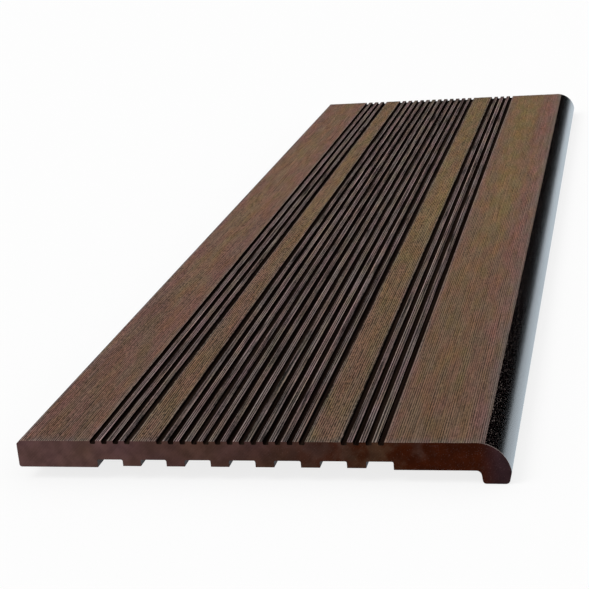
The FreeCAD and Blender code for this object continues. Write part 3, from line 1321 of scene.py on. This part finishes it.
@dataclass
class TreadBoard:
    """The whole board, swept from its section and sawn at both ends.

    Attributes:
        section: The board's section.
        length: Length that the stock is sawn to, in mm.
        name: Name of the piece.
        strips: Divisions along the length.
        end_ease: Ease of the sawn arrises in mm.
        chip: Deepest chip in those arrises in mm.
        cap_step: Spacing of points over a sawn end in mm.
        saw_depth: Deepest saw mark in mm.
        arris_reach: How far the arris mask reaches from a groove's mouth, in mm.
        shoulder: How far behind the nose the brushing begins to weaken, in mm.
        sharp: Angle in degrees from which an edge is shaded as sharp.
        margin: Room round each part of the unrolled surface, in mm.
    """

    section: TreadSection
    length: float = 1200.0
    name: str = "stair_tread_board"
    strips: int = 128
    end_ease: float = 0.12
    chip: float = 0.06
    cap_step: float = 2.4
    saw_depth: float = 0.10
    arris_reach: float = 3.6
    shoulder: float = 9.0
    sharp: float = 38.0
    margin: float = 8.0

    MARKS = {
        Zone.BRUSHED: (StreakField(11, 46.0, 1.5, 0.15), StreakField(12, 170.0, 4.3, 0.10)),
        Zone.LAND: (StreakField(17, 46.0, 1.5, 0.15), StreakField(18, 170.0, 4.3, 0.10)),
        Zone.RIB: (StreakField(13, 60.0, 1.3, 0.09),),
        Zone.GROOVE: (StreakField(14, 420.0, 0.9, 0.03),),
        Zone.NOSE: (StreakField(15, 380.0, 2.2, 0.03),),
        Zone.MOULDED: (StreakField(16, 420.0, 1.7, 0.04),),
    }
    CHIP_SEED = 31
    CHIP_CELL = (1.0, 1.6)
    CHIP_FLOOR = 0.55
    CHIP_GAIN = 2.0
    NOSE_GREY = 0.6
    END_GREY = 0.8
    CAP_SEEDS = (51, 52)
    CAP_JITTER = 0.3
    CAP_CLEARANCE = 0.45
    FILL_INSIDE = 1
    MERGE = 1e-6
    SAW_CELL = (7.0, 1.9)
    SAW_SLANT = 0.35

    def stations(self) -> np.ndarray:
        """Places of the rings along the board in mm, with a close pair at each end.

        Returns:
            The places, from one sawn end to the other.
        """
        half = self.length / 2
        inner = np.linspace(-half + self.end_ease, half - self.end_ease, self.strips + 1)
        return np.concatenate(((-half,), inner, (half,)))

    def rings(self, outline: Outline, along: np.ndarray) -> np.ndarray:
        """Every ring of the swept surface.

        Args:
            outline: The section's points.
            along: Places of the rings in mm.

        Returns:
            Points in mm, by ring and by place in the ring.
        """
        across = outline.distances()[:-1]
        slots = np.array([zone.slot for zone in outline.zones])
        cut = np.zeros((len(along), len(across)))
        for zone, fields in self.MARKS.items():
            here = slots == zone.slot
            for marks in fields:
                cut[:, here] += marks.cut(along, across[here])
        past = (outline.points[:, 0] - self.section.brushed_end) / self.shoulder
        weaker = StreakField.smooth(np.clip(past, 0.0, 1.0))
        cut *= np.where(slots == Zone.BRUSHED.slot, weaker, 1.0)
        ends = [0, -1]
        chips = StreakField(self.CHIP_SEED, *self.CHIP_CELL, self.chip).cut(along[ends], across)
        chips = np.maximum(chips - self.chip * self.CHIP_FLOOR, 0.0) * self.CHIP_GAIN
        cut[ends] += self.end_ease + chips
        cut = np.minimum(cut, outline.room)
        outward = outline.outward()
        grid = np.empty((len(along), len(across), 3))
        grid[:, :, 0] = along[:, None]
        for axis in range(2):
            grid[:, :, axis + 1] = outline.points[:, axis] - outward[:, axis] * cut
        return grid

    def arris_mask(self, outline: Outline, along: np.ndarray) -> np.ndarray:
        """How near each point is to a groove's mouth or a sawn arris, from 0 to 1.

        Args:
            outline: The section's points.
            along: Places of the rings in mm.

        Returns:
            The mask, by ring and by place in the ring.
        """
        across = outline.points[:, 0]
        bevel = self.section.rear - self.section.rear_chamfer
        mouths = np.append(np.array(self.section.groove_walls()).ravel(), bevel)
        gap = np.abs(across[:, None] - mouths[None, :]).min(axis=1)
        near = np.clip(1.0 - gap / self.arris_reach, 0.0, 1.0)
        nose = 1.0 - (across - self.section.brushed_end) / self.shoulder
        near = np.maximum(near, self.NOSE_GREY * np.clip(nose, 0.0, 1.0))
        end = np.clip(1.0 - (self.length / 2 - np.abs(along)) / self.arris_reach, 0.0, 1.0)
        return np.maximum(near[None, :], end[:, None] * self.END_GREY)

    def cap(self, ring: np.ndarray, seed: int) -> tuple[np.ndarray, list[list[int]]]:
        """Fills one sawn end.

        Args:
            ring: The end ring's points in mm, as y and z.
            seed: Seed of its saw marks.

        Returns:
            The points inside the ring with their depth first, and triangles over the
            ring's points followed by those.
        """
        spans = [
            np.arange(low, high, self.cap_step)
            for low, high in zip(ring.min(axis=0), ring.max(axis=0))
        ]
        places = np.stack(np.meshgrid(*spans, indexing="ij"), axis=-1).reshape(-1, 2)
        noise = np.random.default_rng(seed)
        jitter = noise.uniform(-self.CAP_JITTER, self.CAP_JITTER, places.shape)
        places += jitter * self.cap_step
        places = places[self.inside(places, ring)]
        vectors = [Vector(place) for place in (*ring.tolist(), *places.tolist())]
        border = [list(range(len(ring)))]
        found = delaunay_2d_cdt(vectors, [], border, self.FILL_INSIDE, self.MERGE)
        faces, origins = found[2:4]
        triangles = [[origins[corner][0] for corner in face] for face in faces]
        marks = StreakField(seed, *self.SAW_CELL, self.saw_depth)
        depth = [
            marks.cut(place[:1], place[1:] + place[:1] * self.SAW_SLANT)[0, 0] for place in places
        ]
        return np.column_stack((depth, places)), triangles

    def inside(self, places: np.ndarray, ring: np.ndarray) -> np.ndarray:
        """Which places lie inside a ring and clear of it.

        Args:
            places: Places to test, in mm.
            ring: The ring's points in mm.

        Returns:
            True for each place that lies inside.
        """
        within = np.zeros(len(places), bool)
        clear = np.full(len(places), np.inf)
        for start, end in zip(ring, np.roll(ring, -1, axis=0)):
            spans = (start[1] > places[:, 1]) != (end[1] > places[:, 1])
            rise = end[1] - start[1]
            cross = start[0] + (places[:, 1] - start[1]) * (end[0] - start[0]) / (rise or 1.0)
            within ^= spans & (places[:, 0] < cross)
            clear = np.minimum(clear, np.linalg.norm(places - start, axis=1))
        return within & (clear > self.cap_step * self.CAP_CLEARANCE)

    def build(self) -> bpy.types.Object:
        """Builds the board's mesh in the CAD's place.

        Returns:
            The new object, whose faces carry each zone's material index, with no materials yet.
        """
        outline = self.section.outline()
        along = self.stations()
        grid = self.rings(outline, along)
        rings, count = grid.shape[:2]
        index = np.arange(rings * count).reshape(rings, count)
        ahead = np.roll(index, -1, axis=1)
        quads = np.stack((index[:-1], ahead[:-1], ahead[1:], index[1:]), axis=-1).reshape(-1, 4)
        points = grid.reshape(-1, 3)
        caps: list[list[list[int]]] = []
        for end, way, seed in zip((0, -1), (-1, 1), self.CAP_SEEDS):
            inner, faces = self.cap(grid[end, :, 1:], seed)
            inner[:, 0] = along[end] - way * inner[:, 0]
            corners = np.concatenate((index[end], len(points) + np.arange(len(inner))))
            caps.append([corners[face[::way]].tolist() for face in faces])
            points = np.concatenate((points, inner))
        mesh = bpy.data.meshes.new(self.name)
        mesh.from_pydata((points * MM).tolist(), [], quads.tolist() + caps[0] + caps[1])
        slots = np.full(len(mesh.polygons), Zone.SAWN.slot, np.int32)
        slots[: len(quads)] = np.tile([zone.slot for zone in outline.zones], rings - 1)
        mesh.polygons.foreach_set("material_index", slots)
        mesh.polygons.foreach_set("use_smooth", np.ones(len(slots), bool))
        mask = np.zeros(len(points), np.float32)
        mask[: index.size] = self.arris_mask(outline, along).ravel()
        mesh.attributes.new(ARRIS_MASK, "FLOAT", "POINT").data.foreach_set("value", mask)
        self.unroll(mesh, outline, along, len(caps[0]))
        mesh.set_sharp_from_angle(angle=math.radians(self.sharp))
        mesh.update()
        return add_object(self.name, mesh)

    def unroll(
        self, mesh: bpy.types.Mesh, outline: Outline, along: np.ndarray, near_caps: int
    ) -> None:
        """Lays the surface out flat: the sweep as one sheet, with the sawn ends beside it.

        Args:
            mesh: The board's mesh.
            outline: The section's points.
            along: Places of the rings in mm.
            near_caps: Triangles of the first sawn end.
        """
        run, margin = outline.distances(), self.margin
        size = (len(along), len(run))
        u = np.broadcast_to((along + self.length / 2 + margin)[:, None], size)
        v = np.broadcast_to((run + margin)[None, :], size)
        place = np.stack((u, v), axis=-1)
        sheet = np.stack(
            (place[:-1, :-1], place[:-1, 1:], place[1:, 1:], place[1:, :-1]), axis=2
        ).reshape(-1, 2)
        corners = np.empty(len(mesh.loops), np.int32)
        mesh.loops.foreach_get("vertex_index", corners)
        points = np.empty(len(mesh.vertices) * 3, np.float32)
        mesh.vertices.foreach_get("co", points)
        ends = points.reshape(-1, 3)[corners[len(sheet) :]][:, 1:] / MM
        ends[:, 0] += self.section.depth / 2 + margin
        ends[:, 1] += run[-1] + 3 * margin
        ends[near_caps * 3 :, 0] += self.section.depth + 2 * margin
        flat = np.concatenate((sheet, ends)) / (self.length + 2 * margin)
        layer = mesh.uv_layers.new(name=UNROLLED_MAP)
        layer.uv.foreach_set("vector", flat.astype(np.float32).ravel())

    @staticmethod
    def finishes() -> dict[Zone, Finish]:
        """The finish of every zone.

        Returns:
            One finish for each zone.
        """
        brushed = BrushedFinish(Zone.BRUSHED.value)
        return {
            Zone.BRUSHED: brushed,
            Zone.LAND: BrushedFinish(
                Zone.LAND.value,
                brown=(0.119, 0.0690, 0.0465),
                olive=(0.147, 0.0990, 0.0400),
                russet=(0.134, 0.0650, 0.0445),
                taupe=(0.104, 0.0865, 0.0755),
                line=1.1,
                dash_width=0.85,
                bite=1.35,
            ),
            Zone.RIB: BrushedFinish(
                Zone.RIB.value,
                brown=(0.068, 0.046, 0.038),
                olive=(0.073, 0.053, 0.040),
                russet=(0.072, 0.045, 0.038),
                taupe=(0.073, 0.055, 0.049),
                grey_reach=0.8,
                line=1.6,
                bite=1.3,
                lines=2.9,
            ),
            # Painted shade: the near-black tone darkens the groove walls, and the paler tone shows
            # towards the groove floor.
            Zone.GROOVE: SkinFinish(
                Zone.GROOVE.value,
                tone=(0.0032, 0.0006, 0.0002),
                pale=(0.046, 0.0280, 0.0190),
                fleck=(0.016, 0.009, 0.006),
                share=0.2,
                gloss=(0.65, 0.8),
                shine=0.02,
                shade_fade_from=28.5,
                shade_fade_to=27.7,
            ),
            Zone.NOSE: NoseFinish(Zone.NOSE.value, brushed),
            Zone.MOULDED: SkinFinish(
                Zone.MOULDED.value,
                tone=(0.034, 0.0185, 0.0130),
                pale=(0.098, 0.060, 0.044),
                fleck=(0.125, 0.086, 0.066),
                share=0.5,
                gloss=(0.46, 0.66),
                shine=0.12,
            ),
            Zone.SAWN: SawnFinish(Zone.SAWN.value),
        }

    def dress(self, board: bpy.types.Object) -> None:
        """Gives each zone its material and ties the piece to the CAD.

        Args:
            board: The board's object.
        """
        finishes = self.finishes()
        for zone in Zone:
            board.data.materials.append(finishes[zone].material())
        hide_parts("tread")
        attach(board, "root")


@dataclass
class Studio:
    """The set: a pale floor, a soft dome, one broad lamp and a dark surround.

    Attributes:
        floor_size: Side of the floor in metres.
        floor_gap: How far the floor lies below the foot of the lip, in metres.
        floor_tone: Colour of the floor.
        floor_roughness: Roughness of the floor.
        floor_sheen: Cool white that gloss picks up from the floor.
        floor_lift: Share of the floor that shows plain white to the camera.
        dome: Strength of the soft light from all round.
        lamp: Strength of the broad lamp.
        lamp_from: Direction that the lamp shines from.
        lamp_spread: How broad the lamp looks, in degrees.
        surround_tone: Colour of the dark surround.
        surround_roughness: Roughness of the dark surround.
        surround_radius: Radius of the dark surround in metres.
        surround_foot: Height of the dark surround's lower edge in metres.
        surround_height: Height of its upper edge in metres.
        surround_sides: Sides of the dark surround.
    """

    floor_size: float = 60.0
    floor_gap: float = 0.0002
    floor_tone: Colour = (0.93, 0.93, 0.93)
    floor_roughness: float = 0.9
    floor_sheen: Colour = (0.74, 0.86, 0.96)
    floor_lift: float = 0.80
    dome: float = 0.68
    lamp: float = 1.25
    lamp_from: Spot = (-0.30, 0.55, 0.80)
    lamp_spread: float = 28.0
    surround_tone: Colour = (0.0005, 0.0005, 0.0005)
    surround_roughness: float = 0.95
    surround_radius: float = 6.0
    surround_foot: float = 0.03
    surround_height: float = 9.0
    surround_sides: int = 48

    @staticmethod
    def stand(
        name: str, points: list[Spot], faces: list[tuple[int, ...]], paint: Paint
    ) -> bpy.types.Object:
        """Adds one object of the set.

        Args:
            name: Name of the object.
            points: Its points in metres.
            faces: Its faces over those points.
            paint: Its material.

        Returns:
            The new object.
        """
        mesh = bpy.data.meshes.new(name)
        mesh.from_pydata(points, [], faces)
        mesh.materials.append(paint.material)
        made = add_object(name, mesh)
        return made

    @staticmethod
    def matt(name: str, tone: Colour, roughness: float) -> Paint:
        """Starts a material without gloss.

        Args:
            name: Name of the material.
            tone: Its colour.
            roughness: Its roughness.

        Returns:
            The new material with its nodes.
        """
        paint = Paint(name)
        paint.feed({"Base Color": tone, "Roughness": roughness, "Specular IOR Level": 0.0})
        return paint

    @staticmethod
    def seen(graph: Graph) -> Socket:
        """Tells the rays that show the background, straight or in gloss or glass.

        Args:
            graph: Nodes of the floor's material or of the dome.

        Returns:
            1 for such a ray, and else 0.
        """
        path = graph.node("ShaderNodeLightPath").outputs
        either = graph.math("ADD", path["Is Camera Ray"], path["Is Glossy Ray"])
        return graph.math("ADD", either, path["Is Transmission Ray"], clamp=True)

    def floor(self) -> None:
        """Lays the pale floor, which keeps a soft shadow."""
        paint = self.matt("floor_paint", self.floor_tone, self.floor_roughness)
        graph = paint.graph
        gloss = graph.node("ShaderNodeLightPath").outputs["Is Glossy Ray"]
        tone = graph.blend(gloss, WHITE, self.floor_sheen)
        white = graph.node("ShaderNodeEmission", {"Color": tone, "Strength": 1.0})
        share = graph.math("MULTIPLY", self.seen(graph), self.floor_lift)
        mixed = graph.node(
            "ShaderNodeMixShader", {0: share, 1: paint.shader.outputs[0], 2: white.outputs[0]}
        )
        output = graph.tree.nodes["Material Output"]
        graph.feed(output.inputs["Surface"], mixed.outputs[0])
        half = self.floor_size / 2
        points = [
            (x * half, y * half, -self.floor_gap) for x, y in ((-1, -1), (1, -1), (1, 1), (-1, 1))
        ]
        self.stand("studio_floor", points, [(0, 1, 2, 3)], paint)

    def surround(self) -> None:
        """Stands a dark surround round the set, where only reflections see it."""
        paint = self.matt("surround_black", self.surround_tone, self.surround_roughness)
        count, radius = self.surround_sides, self.surround_radius
        turns = np.linspace(0.0, 2 * math.pi, count, endpoint=False)
        points = [
            (math.cos(turn) * radius, math.sin(turn) * radius, z)
            for z in (self.surround_foot, self.surround_height)
            for turn in turns
        ]
        faces = [
            (place, (place + 1) % count, (place + 1) % count + count, place + count)
            for place in range(count)
        ]
        made = self.stand("dark_surround", points, faces, paint)
        made.visible_camera = False
        made.visible_diffuse = False
        made.visible_shadow = False

    def light(self) -> None:
        """Sets the dome and the broad lamp."""
        world = bpy.data.worlds.new("soft_dome")
        world.use_nodes = True
        graph = Graph(world.node_tree)
        back = world.node_tree.nodes["Background"]
        graph.feed(back.inputs["Color"], WHITE)
        lift = graph.math("MULTIPLY_ADD", self.seen(graph), 1.0 - self.dome, self.dome)
        graph.feed(back.inputs["Strength"], lift)
        bpy.context.scene.world = world
        lamp = bpy.data.lights.new("broad_lamp", "SUN")
        lamp.energy = self.lamp
        lamp.angle = math.radians(self.lamp_spread)
        made = add_object("broad_lamp", lamp)
        made.rotation_mode = "QUATERNION"
        made.rotation_quaternion = (-Vector(self.lamp_from)).to_track_quat("-Z", "Y")

    def build(self) -> None:
        """Builds the whole set."""
        self.floor()
        self.surround()
        self.light()
        bpy.context.scene.view_settings.view_transform = "Standard"


@dataclass(frozen=True)
class PhotoCamera:
    """The camera at the photograph's viewing angle.

    Attributes:
        eye: Where it stands, in metres.
        aim: The point of the walking face in the middle of the frame, in metres.
        roll: How far it leans, in degrees.
        lens: Focal length in mm.
        sensor: Width of the sensor in mm.
    """

    eye: Spot = (-1.5145, -0.2592, 0.4369)
    aim: Spot = (-0.2794, 0.0394, 0.03)
    roll: float = -5.216
    lens: float = 91.681
    sensor: float = 36.0

    def build(self) -> bpy.types.Object:
        """Sets the scene's camera.

        Returns:
            The camera's object.
        """
        data = bpy.data.cameras.new("photo_camera")
        data.lens = self.lens
        data.sensor_width = self.sensor
        made = add_object("photo_camera", data)
        ahead = Vector(self.aim) - Vector(self.eye)
        lean = Matrix.Rotation(math.radians(self.roll), 3, "Z")
        turn = ahead.to_track_quat("-Z", "Y").to_matrix() @ lean
        made.matrix_world = Matrix.Translation(self.eye) @ turn.to_4x4()
        bpy.context.scene.camera = made
        return made


def main() -> None:
    """Builds the camera, the board and the set in order."""
    logging.basicConfig(level=logging.INFO, format="%(name)s: %(message)s")
    camera = PhotoCamera().build()
    LOG.info("%s with a %.1f mm lens", camera.name, camera.data.lens)
    tread = TreadBoard(TreadSection())
    board = tread.build()
    tread.dress(board)
    board.data.calc_loop_triangles()
    LOG.info("%s with %d triangles", board.name, len(board.data.loop_triangles))
    Studio().build()
    LOG.info("studio set")


if __name__ == "__main__":
    main()
